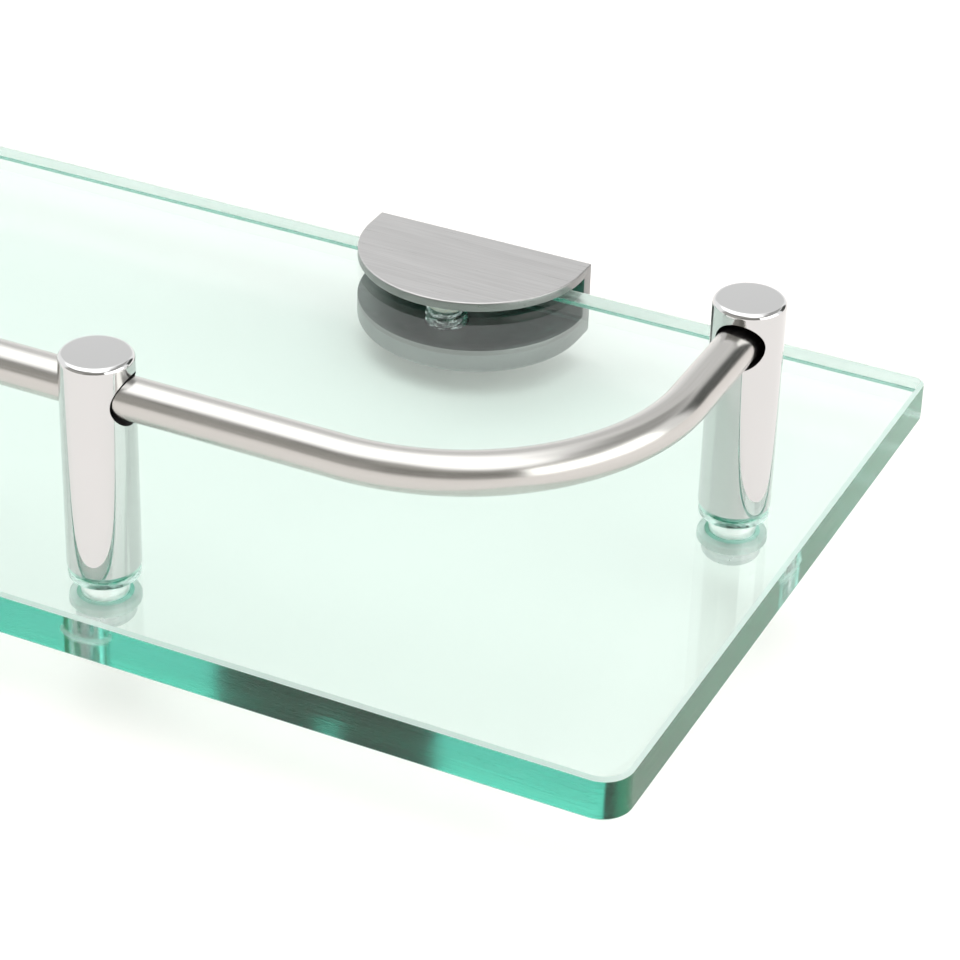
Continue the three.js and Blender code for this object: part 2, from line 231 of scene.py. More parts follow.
def slab_levels(low, high, low_edge, high_edge):
    """(height, inset) pairs of a slab with rounded lower and upper edges."""
    lower = [(low + low_edge + z, low_edge - r) for r, z in rounding(0, 0, low_edge, -QUARTER)]
    upper = [(high - high_edge + z, high_edge - r) for r, z in rounding(0, 0, high_edge, 0)]
    return lower + upper


def prism(outline, levels):
    """A slab of the plan outline(inset), with one ring at each (height, inset)."""
    return loft([[(x, y, z) for x, y in outline(inset)] for z, inset in levels])


def make_object(name, bm, *materials):
    """A mesh object in the row frame, smooth except across sharp edges."""
    mesh = bpy.data.meshes.new(name)
    bm.to_mesh(mesh)
    bm.free()
    for material in materials:
        mesh.materials.append(material)
    mesh.shade_smooth()
    mesh.set_sharp_from_angle(angle=SHARP_ANGLE)
    obj = bpy.data.objects.new(name, mesh)
    bpy.context.scene.collection.objects.link(obj)
    return obj


def cut(obj, *tools, material_index=0):
    """Cuts closed tools out of an object; the cut faces get the material at that index."""
    for tool in tools:
        cutter = make_object("cutter", tool, *obj.data.materials)
        for polygon in cutter.data.polygons:
            polygon.material_index = material_index
        modifier = obj.modifiers.new("cut", "BOOLEAN")
        modifier.operation = "DIFFERENCE"
        modifier.solver = "EXACT"
        modifier.object = cutter
        apply_modifiers(obj)
        bpy.data.objects.remove(cutter)
    obj.data.shade_smooth()
    obj.data.set_sharp_from_angle(angle=SHARP_ANGLE)


def apply_modifiers(obj):
    """Replaces an object's mesh by what its modifiers make of it."""
    graph = bpy.context.evaluated_depsgraph_get()
    mesh = bpy.data.meshes.new_from_object(obj.evaluated_get(graph))
    old = obj.data
    obj.modifiers.clear()
    obj.data = mesh
    mesh.name = old.name
    bpy.data.meshes.remove(old)


def place(obj, body, slot, *nodes):
    """Rides on a body and stands for the CAD nodes named; the slot is not used."""
    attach(obj, body)
    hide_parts(*nodes)


def turn_to(bm, axis, origin):
    """Lays a tool made along Z about the origin along another axis, then moves it."""
    turn = Vector((0, 0, 1)).rotation_difference(Vector(axis)).to_matrix()
    bmesh.ops.rotate(bm, verts=bm.verts, matrix=turn, cent=(0, 0, 0))
    bmesh.ops.translate(bm, verts=bm.verts, vec=Vector(origin))
    return bm


def key_socket(x, y, flats, low, top):
    """Tool for a hexagonal socket entered from below, with a drilled cone at its end."""
    corner = flats / math.sqrt(3)
    profile = [(corner, low - OVERSHOOT), (corner, top), (0, top + flats / 6)]
    rings = [circle(x, y, z, radius, 6) for radius, z in profile]
    return loft(rings)


def thread_rings(x, y, radius, pitch, low, high, low_chamfer, high_chamfer):
    """Rings of a right-handed screw thread. Its phase hangs on the height alone, so a screw
    and a tapped hole on one axis mesh wherever they start."""
    depth = THREAD_DEPTH_SHARE * pitch
    crest, root = 1 / 8, 1 / 4
    rows = round((high - low) / pitch * THREAD_ROWS)
    rings = []
    for z in spread(low, high, rows):
        limit = radius - max(0, low + low_chamfer - z, z - high + high_chamfer)
        ring = []
        for i in range(THREAD_TURN):
            wave = abs(2 * ((z / pitch - i / THREAD_TURN) % 1) - 1)
            share = min(1, max(0, (wave - crest) / (1 - crest - root)))
            r = min(limit, radius - depth * share)
            angle = 2 * math.pi * i / THREAD_TURN
            ring.append((x + r * math.cos(angle), y + r * math.sin(angle), z))
        rings.append(ring)
    return rings


# ------------------------------------------------------------------ materials


def math_node(tree, operation, first, second):
    """Adds a math node to a node tree; each of its values is a number or an output."""
    node = tree.nodes.new("ShaderNodeMath")
    node.operation = operation
    for socket, value in zip(node.inputs, (first, second)):
        if isinstance(value, (int, float)):
            socket.default_value = value
        else:
            tree.links.new(value, socket)
    return node.outputs["Value"]


class Shader:
    """A node material built round one Principled shader."""

    def __init__(self, name, color, roughness, **sockets):
        self.material = bpy.data.materials.new(name)
        self.material.use_nodes = True
        self.nodes = self.material.node_tree.nodes
        self.nodes.clear()
        self.output = self.nodes.new("ShaderNodeOutputMaterial")
        self.surface = self.nodes.new("ShaderNodeBsdfPrincipled")
        self.link(self.surface.outputs["BSDF"], self.output.inputs["Surface"])
        self.surface.inputs["Base Color"].default_value = (*color, 1)
        self.surface.inputs["Roughness"].default_value = roughness
        for socket, value in sockets.items():
            self.surface.inputs[socket.replace("_", " ")].default_value = value
        self.place = self.nodes.new("ShaderNodeTexCoord").outputs["Object"]

    def link(self, source, target):
        """Joins an output to an input."""
        self.material.node_tree.links.new(source, target)

    def scaled(self, scale, source=None):
        """Coordinates stretched by a scale for each axis."""
        node = self.nodes.new("ShaderNodeVectorMath")
        node.operation = "MULTIPLY"
        self.link(source or self.place, node.inputs[0])
        node.inputs[1].default_value = scale
        return node.outputs["Vector"]

    def noise(self, scale, detail=3, roughness=0.55, source=None):
        """Noise from 0 to 1 with a feature rate, per metre, for each axis."""
        node = self.nodes.new("ShaderNodeTexNoise")
        self.link(self.scaled(scale, source), node.inputs["Vector"])
        node.inputs["Scale"].default_value = 1
        node.inputs["Detail"].default_value = detail
        node.inputs["Roughness"].default_value = roughness
        return node.outputs["Fac"]

    def ramp(self, source, low, high, to_low, to_high):
        """A value mapped from one range to another, clamped at both ends."""
        node = self.nodes.new("ShaderNodeMapRange")
        self.link(source, node.inputs["Value"])
        for socket, value in zip(("From Min", "From Max", "To Min", "To Max"),
                                 (low, high, to_low, to_high)):
            node.inputs[socket].default_value = value
        return node.outputs["Result"]

    def math(self, operation, first, second):
        """A sum or the like of two values, each a number or an output."""
        return math_node(self.material.node_tree, operation, first, second)

    def blend(self, factor, first, second):
        """A colour between two, by a factor."""
        node = self.nodes.new("ShaderNodeMix")
        node.data_type = "RGBA"
        self.link(factor, node.inputs["Factor"])
        node.inputs[MIX_FIRST].default_value = (*first, 1)
        node.inputs[MIX_SECOND].default_value = (*second, 1)
        return node.outputs[MIX_RESULT]

    def bump(self, height, distance, strength):
        """Fine relief, its depth in metres; its strength is a number or an output."""
        node = self.nodes.new("ShaderNodeBump")
        self.link(height, node.inputs["Height"])
        node.inputs["Distance"].default_value = distance
        if isinstance(strength, float):
            node.inputs["Strength"].default_value = strength
        else:
            self.link(strength, node.inputs["Strength"])
        self.link(node.outputs["Normal"], self.surface.inputs["Normal"])

    def set(self, socket, source):
        """Drives a socket of the Principled shader."""
        self.link(source, self.surface.inputs[socket])

    def facing(self):
        """The parts of the true normal: how far the face looks right, backwards and up."""
        geometry = self.nodes.new("ShaderNodeNewGeometry")
        split = self.nodes.new("ShaderNodeSeparateXYZ")
        self.link(geometry.outputs["True Normal"], split.inputs["Vector"])
        return split.outputs


def green_body(shader):
    """The green that glass takes on with depth."""
    volume = shader.nodes.new("ShaderNodeVolumeAbsorption")
    volume.inputs["Color"].default_value = (0.14, 0.84, 0.745, 1)
    volume.inputs["Density"].default_value = 19
    shader.link(volume.outputs["Volume"], shader.output.inputs["Volume"])


def glass_material():
    """Float glass: clear faces, edges polished in front and at the sides, ground at the back."""
    shader = Shader("float_glass", (0.975, 0.955, 0.94), 0.0, Transmission_Weight=1.0, IOR=1.52)
    facing = shader.facing()
    level = shader.math("ABSOLUTE", facing["Z"], 0)
    edge = shader.ramp(level, 0.3, 0.4, 1, 0)
    back = shader.ramp(facing["Y"], 0.6, 0.7, 0, 1)
    grinding = shader.noise((30, 30, 500), detail=4, roughness=0.6)
    polish = shader.ramp(grinding, 0.35, 0.7, 0.10, 0.18)
    rough = shader.math("ADD", polish, shader.math("MULTIPLY", back, 0.6))
    shader.set("Roughness", shader.math("MULTIPLY", edge, rough))
    streaks = shader.noise((45, 45, 900), detail=5, roughness=0.6)
    polished = shader.math("MULTIPLY", edge, shader.math("SUBTRACT", 1, back))
    shader.bump(streaks, 0.00012, shader.math("MULTIPLY", polished, 0.4))
    green_body(shader)
    return shader.material


def ground_material():
    """The plate's ground arrises: whitish, finely scratched along the edge."""
    shader = Shader("ground_glass", (0.86, 0.97, 0.93), 0.55, Transmission_Weight=0.4, IOR=1.52)
    grit = shader.noise((500, 500, 500), detail=4, roughness=0.7)
    shader.set("Roughness", shader.ramp(grit, 0.3, 0.7, 0.4, 0.7))
    shader.set("Base Color", shader.blend(grit, (0.80, 0.94, 0.89), (0.92, 0.99, 0.96)))
    green_body(shader)
    return shader.material


def chrome_material():
    """Mirror chrome with faint polishing marks and wiped fingerprints."""
    shader = Shader("bright_chrome", (0.64, 0.645, 0.64), 0.03, Metallic=1.0)
    haze = shader.noise((90, 90, 60), detail=5)
    shader.set("Roughness", shader.ramp(haze, 0.4, 0.75, 0.02, 0.07))
    tint = shader.noise((40, 40, 40), detail=2)
    shader.set("Base Color", shader.blend(tint, (0.62, 0.625, 0.62), (0.665, 0.66, 0.66)))
    shader.bump(shader.noise((250, 250, 120), detail=2), 0.000004, 0.6)
    return shader.material


def rail_material():
    """Satin-polished stainless tube; the polishing lines run along it."""
    shader = Shader("polished_stainless", (0.56, 0.55, 0.53), 0.22, Metallic=1.0, Anisotropic=0.6,
                    Anisotropic_Rotation=0.25)
    grain = shader.nodes.new("ShaderNodeAttribute")
    grain.attribute_name = "grain"
    around = grain.outputs["Vector"]
    lines = shader.noise((2200, 2200, 35), detail=4, roughness=0.6, source=around)
    patches = shader.noise((150, 150, 60), detail=3, source=around)
    rough = shader.math("ADD", shader.ramp(lines, 0.3, 0.7, 0.17, 0.25),
                        shader.ramp(patches, 0.3, 0.7, -0.02, 0.04))
    shader.set("Roughness", rough)
    shader.set("Base Color", shader.blend(lines, (0.50, 0.49, 0.465), (0.60, 0.59, 0.57)))
    shader.bump(lines, 0.000006, 0.5)
    along = shader.nodes.new("ShaderNodeAttribute")
    along.attribute_name = "along"
    shader.link(along.outputs["Vector"], shader.surface.inputs["Tangent"])
    return shader.material


def clamp_material():
    """Satin nickel brushed along the wall; its upright faces are darkened with painted shade."""
    shader = Shader("satin_nickel", (0.52, 0.515, 0.51), 0.34, Metallic=1.0)
    fine = shader.noise((55, 2600, 2600), detail=4, roughness=0.65)
    broad = shader.noise((25, 420, 420), detail=3, roughness=0.5)
    tone = shader.math("ADD", shader.math("MULTIPLY", fine, 0.8),
                       shader.math("MULTIPLY", broad, 0.2))
    level = shader.math("ABSOLUTE", shader.facing()["Z"], 0)
    brushed = shader.ramp(tone, 0.35, 0.65, 0.75, 1)
    # Painted shade: the colour darkens on upright faces, as if less light fell on them than on
    # level ones.
    painted_upright_shade = shader.ramp(level, 0.2, 0.9, 0.2, 1)
    shade = shader.math("MULTIPLY", brushed, painted_upright_shade)
    shader.set("Base Color", shader.blend(shade, (0.21, 0.21, 0.205), (0.57, 0.565, 0.56)))
    shader.set("Roughness", shader.ramp(fine, 0.3, 0.7, 0.27, 0.42))
    shader.bump(fine, 0.00002, 0.6)
    return shader.material


def throat_shade_material():
    """The clamp's inside between the jaws and its holes: dull nickel, darkened as painted shade.
    """
    shader = Shader("throat_nickel_painted_shade", (0.2, 0.2, 0.195), 0.5, Metallic=1.0)
    # Painted shade: the dark base colour stands for the shade between the jaws and inside the
    # clamp's holes.
    skin = shader.noise((700, 700, 700), detail=3)
    shader.set("Base Color", shader.blend(skin, (0.15, 0.152, 0.148), (0.25, 0.25, 0.245)))
    shader.bump(skin, 0.00003, 0.5)
    return shader.material


def hole_shade_material():
    """Turned steel, dull inside drilled holes and darkened there as painted shade."""
    # Painted shade: the dark base colour stands for the shade deep in the posts' holes.
    shader = Shader("machined_bore_painted_shade", (0.2, 0.2, 0.2), 0.45, Metallic=1.0)
    rings = shader.noise((500, 500, 2500), detail=2)
    shader.set("Base Color", shader.blend(rings, (0.12, 0.12, 0.12), (0.28, 0.275, 0.27)))
    shader.bump(rings, 0.00002, 0.5)
    return shader.material


def zinc_material():
    """Bright zinc plate with a slight mottle."""
    shader = Shader("bright_zinc", (0.62, 0.64, 0.65), 0.22, Metallic=1.0)
    mottle = shader.noise((900, 900, 900), detail=4)
    shader.set("Base Color", shader.blend(mottle, (0.62, 0.64, 0.65), (0.78, 0.80, 0.80)))
    shader.set("Roughness", shader.ramp(mottle, 0.3, 0.7, 0.14, 0.30))
    shader.bump(mottle, 0.000015, 0.5)
    return shader.material


def plastic_material():
    """Clear soft plastic with a faint moulding haze."""
    shader = Shader("clear_plastic", (0.72, 0.91, 0.85), 0.06, Transmission_Weight=1.0, IOR=1.47)
    haze = shader.noise((400, 400, 400), detail=3)
    shader.set("Roughness", shader.ramp(haze, 0.3, 0.7, 0.03, 0.12))
    shader.bump(haze, 0.00001, 0.4)
    return shader.material


def frosted_material():
    """Soft translucent plastic with a matt skin."""
    shader = Shader("frosted_plastic", (0.93, 0.97, 0.95), 0.5, Transmission_Weight=0.6, IOR=1.47)
    haze = shader.noise((400, 400, 400), detail=3)
    shader.set("Roughness", shader.ramp(haze, 0.3, 0.7, 0.4, 0.6))
    shader.set("Base Color", shader.blend(haze, (0.90, 0.95, 0.925), (0.95, 0.985, 0.97)))
    return shader.material


def nylon_material():
    """Natural nylon: off-white, slightly translucent and waxy."""
    shader = Shader("natural_nylon", (0.85, 0.84, 0.78), 0.42, Subsurface_Weight=0.15,
                    Subsurface_Scale=0.001)
    grain = shader.noise((1500, 1500, 1500), detail=3)
    shader.set("Base Color", shader.blend(grain, (0.80, 0.79, 0.73), (0.88, 0.87, 0.82)))
    shader.bump(grain, 0.00001, 0.4)
    return shader.material


GLASS = glass_material()
GROUND = ground_material()
CHROME = chrome_material()
RAIL = rail_material()
SATIN = clamp_material()
THROAT_SHADE = throat_shade_material()
HOLE_SHADE = hole_shade_material()
ZINC = zinc_material()
PLASTIC = plastic_material()
FROSTED = frosted_material()
NYLON = nylon_material()

# ------------------------------------------------------------------ glass plate


def plate_outline(inset):
    """The plate's plan with rounded corners, moved inwards by an inset."""
    middle_y = (glass_lo.y + glass_hi.y) / 2
    corners = (
        (glass_hi.x, glass_hi.y, GLASS_BACK_RADIUS),
        (glass_lo.x, glass_hi.y, GLASS_BACK_RADIUS),
        (glass_lo.x, glass_lo.y, GLASS_FRONT_RADIUS),
        (glass_hi.x, glass_lo.y, GLASS_FRONT_RADIUS),
    )
    points = []
    for i, (x, y, radius) in enumerate(corners):
        centre_x = x - math.copysign(radius, x)
        centre_y = y - math.copysign(radius, y - middle_y)
        start = i * QUARTER
        end = (i + 1) * QUARTER
        points += arc(centre_x, centre_y, radius - inset, start, end, CORNER_STEPS)
    return points


def hole_outline(x, y):
    """A drilled hole's plan; an inset widens it."""
    def outline(inset):
        ring = circle(x, y, 0, GLASS_HOLE_RADIUS + inset, TURN)
        return [(px, py) for px, py, _ in ring]
    return outline


def glass_plate(post_nodes):
    """The plate, arrised all round and round each post's hole."""
    bm = bmesh.new()
    low, high = glass_lo.z, glass_hi.z
    levels = [
        (low, GLASS_ARRIS),
        (low + GLASS_ARRIS, 0),
        (high - GLASS_ARRIS, 0),
        (high, GLASS_ARRIS),
    ]
    polished, ground = 0, 1
    outlines = [plate_outline] + [hole_outline(middle(n).x, middle(n).y) for n in post_nodes]
    stacks = []
    for outline in outlines:
        rows = [[bm.verts.new((x, y, z)) for x, y in outline(inset)] for z, inset in levels]
        for lower, upper, material_index in zip(rows, rows[1:], (ground, polished, ground)):
            join_rows(bm, lower, upper, material_index)
        stacks.append(rows)
    for level in (0, -1):
        verts = [vert for rows in stacks for vert in rows[level]]
        for triangle in tessellate_polygon([[v.co for v in rows[level]] for rows in stacks]):
            bm.faces.new([verts[i] for i in triangle])
    bmesh.ops.recalc_face_normals(bm, faces=bm.faces)
    plate = make_object("glass_plate", bm, GLASS, GROUND)
    place(plate, "shelf", "glass", "glass_shelf")


# ------------------------------------------------------------------ guard rail


def rail_stations():
    """(point, heading) along the rail's centre line, from the left end to the right end."""
    side_x = rail_hi.x - rail_radius
    front_y = rail_lo.y + rail_radius
    centre_x = side_x - RAIL_BEND_RADIUS
    centre_y = front_y + RAIL_BEND_RADIUS
    stations = [((-side_x, rail_hi.y), -QUARTER), ((-side_x, centre_y + BEND_LEAD), -QUARTER)]
    for side, start in ((-1, -QUARTER), (1, 0)):
        for heading in spread(start, start + QUARTER, BEND_STEPS):
            x = side * centre_x + RAIL_BEND_RADIUS * math.sin(heading)
            y = centre_y - RAIL_BEND_RADIUS * math.cos(heading)
            stations.append(((x, y), heading))
        if side < 0:
            stations.append(((-centre_x + BEND_LEAD, front_y), 0))
            stations.append(((centre_x - BEND_LEAD, front_y), 0))
    stations.append(((side_x, centre_y + BEND_LEAD), QUARTER))
    stations.append(((side_x, rail_hi.y), QUARTER))
    return stations


def guard_rail():
    """One bent tube, with its straightened-out coordinates kept for the grain."""
    stations = rail_stations()
    outer, inner, grain, along = [], [], [], []
    distance = 0
    previous = Vector((*stations[0][0], rail_height))
    for (x, y), heading in stations:
        centre = Vector((x, y, rail_height))
        distance += (centre - previous).length
        previous = centre
        side = Vector((-math.sin(heading), math.cos(heading), 0))
        forward = Vector((math.cos(heading), math.sin(heading), 0))
        for rings, radius in ((outer, rail_radius), (inner, rail_radius - RAIL_WALL)):
            ring = []
            for i in range(TURN):
                angle = 2 * math.pi * i / TURN
                c, s = radius * math.cos(angle), radius * math.sin(angle)
                ring.append(centre + side * c + Vector((0, 0, s)))
                if rings is outer:
                    grain.append((c, s, distance))
                    along.append(forward)
            rings.append(ring)
    bm = loft(outer + inner[::-1], closed=True)
    rail = make_object("guard_rail_tube", bm, RAIL)
    inner_count = len(rail.data.vertices) - len(grain)
    for name, values in (("grain", grain), ("along", along)):
        attribute = rail.data.attributes.new(name, "FLOAT_VECTOR", "POINT")
        flat = [component for vector in values for component in vector]
        attribute.data.foreach_set("vector", flat + [0.0, 0.0, 1.0] * inner_count)
    place(rail, "shelf", "rail_steel", "guard_rail")


# ------------------------------------------------------------------ posts and fixings


def post_normal(centre, corner, top):
    """The true normal of a post's outer skin at a corner."""
    radial = Vector((corner.x - centre.x, corner.y - centre.y, 0))
    reach = radial.length
    shoulder = post_radius - POST_TOP_ROUND
    start = top - POST_TOP_ROUND
    if corner.z >= start - TOLERANCE / 10 and reach <= post_radius + TOLERANCE:
        rise = max(0.0, corner.z - start)
        out = max(0.0, reach - shoulder)
        return (radial.normalized() * out + Vector((0, 0, rise))).normalized()
    return radial.normalized()


def smooth_post(post, centre, bottom, top):
    """Gives the mirror skin of a post its exact normals, whatever its facets are."""
    mesh = post.data
    normals = [Vector(corner.vector) for corner in mesh.corner_normals]
    for polygon in mesh.polygons:
        flat_end = abs(polygon.normal.z) > LEVEL_NORMAL
        foot = polygon.center.z < bottom + POST_FOOT_HEIGHT
        if polygon.material_index or flat_end or foot:
            continue
        for loop in polygon.loop_indices:
            corner = mesh.vertices[mesh.loops[loop].vertex_index].co
            normals[loop] = post_normal(centre, corner, top)
    mesh.normals_split_custom_set(normals)


def rail_hole(centre, kind):
    """Tool for the rail's hole, drilled wide and slightly off the rail's line."""
    reach = post_radius + OVERSHOOT
    if kind == "front":
        tool = lathe(0, 0, [(FRONT_HOLE_RADIUS, -reach), (FRONT_HOLE_RADIUS, reach)])
        origin = Vector((centre.x, centre.y, rail_height)) + Vector(FRONT_HOLE_OFFSET)
        return turn_to(tool, (1, 0, 0), origin)
    profile = [(SIDE_HOLE_RADIUS, -reach), (SIDE_HOLE_RADIUS, SIDE_HOLE_PAST_AXIS)]
    outward = math.copysign(SIDE_HOLE_OUTWARD, centre.x)
    return turn_to(lathe(0, 0, profile), (0, 1, 0),
                   (centre.x + outward, centre.y, rail_height + SIDE_HOLE_LIFT))


def post(node, kind):
    """A chromed post with a softened top, a chamfered foot, a bore and the rail's hole."""
    centre = middle(node)
    lo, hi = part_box(node)
    bottom, top = lo.z, hi.z
    profile = [
        (post_radius - POST_FOOT_CHAMFER, bottom),
        (post_radius, bottom + POST_FOOT_HEIGHT),
        *rounding(post_radius - POST_TOP_ROUND, top - POST_TOP_ROUND, POST_TOP_ROUND, 0),
    ]
    body = make_object(f"{node}_body", lathe(centre.x, centre.y, profile), CHROME, HOLE_SHADE)
    bore_top = bottom + POST_BORE_DEPTH
    bore = [
        (POST_BORE_RADIUS, bottom - OVERSHOOT),
        (POST_BORE_RADIUS, bore_top),
        (0, bore_top + POST_BORE_RADIUS / 2),
    ]
    # The bore and the rail's hole take the dark hole material: painted shade.
    cut(body, lathe(centre.x, centre.y, bore), rail_hole(centre, kind), material_index=1)
    smooth_post(body, centre, bottom, top)
    place(body, "shelf", "post_chrome", node)


def seat_washer(node):
    """Clear washer under a post, with a collar that lines the glass hole."""
    centre = middle(node)
    lo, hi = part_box(node)
    radius = half_width(node)
    seat = hi.z - SEAT_WASHER_HEIGHT
    profile = [
        (WASHER_HOLE_RADIUS, lo.z),
        (SEAT_COLLAR_RADIUS, lo.z),
        (SEAT_COLLAR_RADIUS, seat),
        *rounding(radius - WASHER_EDGE, seat + WASHER_EDGE, WASHER_EDGE, -QUARTER),
        *rounding(radius - WASHER_EDGE, hi.z - WASHER_EDGE, WASHER_EDGE, 0),
        (WASHER_HOLE_RADIUS, hi.z),
    ]
    washer = make_object(f"{node}_ring", lathe(centre.x, centre.y, profile, closed=True), PLASTIC)
    place(washer, "shelf", "clear_plastic", node)


def under_washer(node):
    """Plain frosted washer between the glass and a screw head."""
    centre = middle(node)
    lo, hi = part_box(node)
    radius = half_width(node)
    profile = [
        (WASHER_HOLE_RADIUS, lo.z),
        *rounding(radius - WASHER_EDGE, lo.z + WASHER_EDGE, WASHER_EDGE, -QUARTER),
        *rounding(radius - WASHER_EDGE, hi.z - WASHER_EDGE, WASHER_EDGE, 0),
        (WASHER_HOLE_RADIUS, hi.z),
    ]
    washer = make_object(f"{node}_ring", lathe(centre.x, centre.y, profile, closed=True), FROSTED)
    place(washer, "shelf", "clear_plastic", node)


def post_screw(node):
    """Button-head M5 screw, threaded to the head, with a hexagonal socket."""
    centre = middle(node)
    x, y = centre.x, centre.y
    lo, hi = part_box(node)
    radius = half_width(node)
    seat = lo.z + POST_HEAD_HEIGHT
    head = rounding(radius - POST_HEAD_EDGE, lo.z + POST_HEAD_EDGE, POST_HEAD_EDGE, -QUARTER)
    rings = [circle(x, y, z, r, THREAD_TURN) for r, z in head]
    rings.append(circle(x, y, seat, radius, THREAD_TURN))
    rings += thread_rings(x, y, POST_THREAD_RADIUS, POST_THREAD_PITCH, seat, hi.z,
                          0, POST_THREAD_PITCH)
    screw = make_object(f"{node}_m5", loft(rings), ZINC)
    cut(screw, key_socket(x, y, POST_KEY_FLATS, lo.z, lo.z + POST_KEY_DEPTH))
    place(screw, "shelf", "screw_zinc", node)


# ------------------------------------------------------------------ wall clamps


def half_round(x, radius, back):
    """A half-round plan with short flanks and its straight side at the back."""
    def outline(inset):
        size = radius - inset
        front = arc(x, -CLAMP_FLANK, size, math.pi, 2 * math.pi, TURN)
        return front + [(x + size, back - inset), (x - size, back - inset)]
    return outline


def wall_hole(x):
    """Tool for the wall screw's hole, countersunk from the throat."""
    sink = COUNTERSINK_RADIUS - WALL_HOLE_RADIUS
    profile = [
        (WALL_HOLE_RADIUS, -OVERSHOOT),
        (WALL_HOLE_RADIUS, CLAMP_WALL - sink),
        (COUNTERSINK_RADIUS, CLAMP_WALL),
        (COUNTERSINK_RADIUS, CLAMP_WALL + OVERSHOOT),
    ]
    return turn_to(lathe(0, 0, profile), (0, -1, 0), (x, 0, 0))


def throat(lo, hi):
    """Tool for the slot between the jaws: open in front and at both sides."""
    reach = OVERSHOOT
    left, right = lo.x - reach, hi.x + reach
    front, back = lo.y - reach, -CLAMP_WALL
    corners = [(left, front), (right, front), (right, back), (left, back)]
    return loft([[(x, y, z) for x, y in corners] for z in (THROAT_BOTTOM, THROAT_TOP)])


def wall_clamp(side):
    """One-piece clamp: two jaws on a back wall, softened edges and a tapped lower jaw. Above
    the thread is a plain seat, which the screw's tip draws back into."""
    node = f"wall_clamp_{side}"
    lo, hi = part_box(node)
    x = middle(node).x
    levels = slab_levels(lo.z, hi.z, LOWER_JAW_EDGE, UPPER_JAW_EDGE)
    body = prism(half_round(x, half_width(node), 0), levels)
    clamp = make_object(f"{node}_body", body, SATIN, THROAT_SHADE)
    # The throat's faces and, below, the holes' faces take the dark material: painted shade.
    cut(clamp, throat(lo, hi), material_index=1)
    bevel = clamp.modifiers.new("edges", "BEVEL")
    bevel.width = THROAT_EDGE
    bevel.segments = 2
    bevel.limit_method = "ANGLE"
    bevel.angle_limit = BEVEL_ANGLE
    apply_modifiers(clamp)
    screw = middle(f"set_screw_{side}")
    radius = half_width(f"set_screw_{side}") + THREAD_CLEARANCE
    seat = THROAT_BOTTOM - TIP_SEAT_DEPTH
    thread = thread_rings(screw.x, screw.y, radius, SET_THREAD_PITCH, lo.z - OVERSHOOT, seat, 0, 0)
    tip_seat = [(radius, seat - OVERSHOOT / 10), (radius, THROAT_BOTTOM + OVERSHOOT)]
    cut(clamp, wall_hole(x), loft(thread), lathe(screw.x, screw.y, tip_seat), material_index=1)
    place(clamp, "shelf", "clamp_satin", node)


def jaw_pad(side):
    """Thin clear pad between the upper jaw and the glass."""
    node = f"jaw_pad_{side}"
    lo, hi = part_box(node)
    x = middle(node).x
    radius = half_width(node)

    def outline(inset):
        size = radius - inset
        back = hi.y - inset
        lift = math.asin((back + CLAMP_FLANK) / size)
        return arc(x, -CLAMP_FLANK, size, math.pi - lift, 2 * math.pi + lift, TURN)

    levels = slab_levels(lo.z, hi.z, PAD_EDGE, PAD_EDGE)
    pad = make_object(f"{node}_sheet", prism(outline, levels), PLASTIC)
    place(pad, "shelf", "clear_plastic", node)


def set_screw(side):
    """M8 set screw with a hexagonal socket below and a stem bore above."""
    node = f"set_screw_{side}"
    lo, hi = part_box(node)
    x, y = middle(node).x, middle(node).y
    rings = thread_rings(x, y, half_width(node), SET_THREAD_PITCH, lo.z, hi.z,
                         SET_SCREW_CHAMFER, SET_SCREW_CHAMFER)
    screw = make_object(f"{node}_m8", loft(rings), ZINC)
    stem = [(STEM_BORE_RADIUS, hi.z - STEM_BORE_DEPTH), (STEM_BORE_RADIUS, hi.z + OVERSHOOT)]
    cut(screw, key_socket(x, y, SET_KEY_FLATS, lo.z, lo.z + SET_KEY_DEPTH), lathe(x, y, stem))
    place(screw, f"{side}_screw", "screw_zinc", node)


def set_screw_tip(side):
    """Nylon disc on a stem that sits in the set screw's nose."""
    node = f"set_screw_tip_{side}"
    lo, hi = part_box(node)
    radius = half_width(node)
    edge = TIP_DISC_HEIGHT / 4
    disc = hi.z - TIP_DISC_HEIGHT
    profile = [
        (TIP_STEM_RADIUS - edge, lo.z),
        (TIP_STEM_RADIUS, lo.z + edge),
        (TIP_STEM_RADIUS, disc),
        *rounding(radius - edge, disc + edge, edge, -QUARTER),
        *rounding(radius - edge, hi.z - edge, edge, 0),
    ]
    tip = make_object(f"{node}_disc", lathe(middle(node).x, middle(node).y, profile), NYLON)
    place(tip, f"{side}_tip", "white_nylon", node)


# ------------------------------------------------------------------ assembly

POSTS = [(f"{kind}_post_{side}", kind) for side in ("left", "right") for kind in ("front", "side")]

glass_plate([node for node, _ in POSTS])
guard_rail()
for post_node, post_kind in POSTS:
    post(post_node, post_kind)
    seat_washer(f"{post_node}_seat_washer")
    under_washer(f"{post_node}_under_washer")
    post_screw(f"{post_node}_screw")
for clamp_side in ("left", "right"):
    wall_clamp(clamp_side)
    jaw_pad(clamp_side)
    set_screw(clamp_side)
    set_screw_tip(clamp_side)

# ------------------------------------------------------------------ studio

FLOOR_BELOW = 4 * MM
FLOOR_REACH = 12

# The camera looks at a point on the glass, measured from the plate's near right corner
CAMERA_AZIMUTH = math.radians(24.974)
CAMERA_ELEVATION = math.radians(31.832)
CAMERA_ROLL = math.radians(1.754)
CAMERA_DISTANCE = 545.075 * MM
CAMERA_LENS = 122.0734
CAMERA_SENSOR = 36
TARGET_FROM_END = 55.075 * MM
TARGET_FROM_FRONT = 66.38 * MM


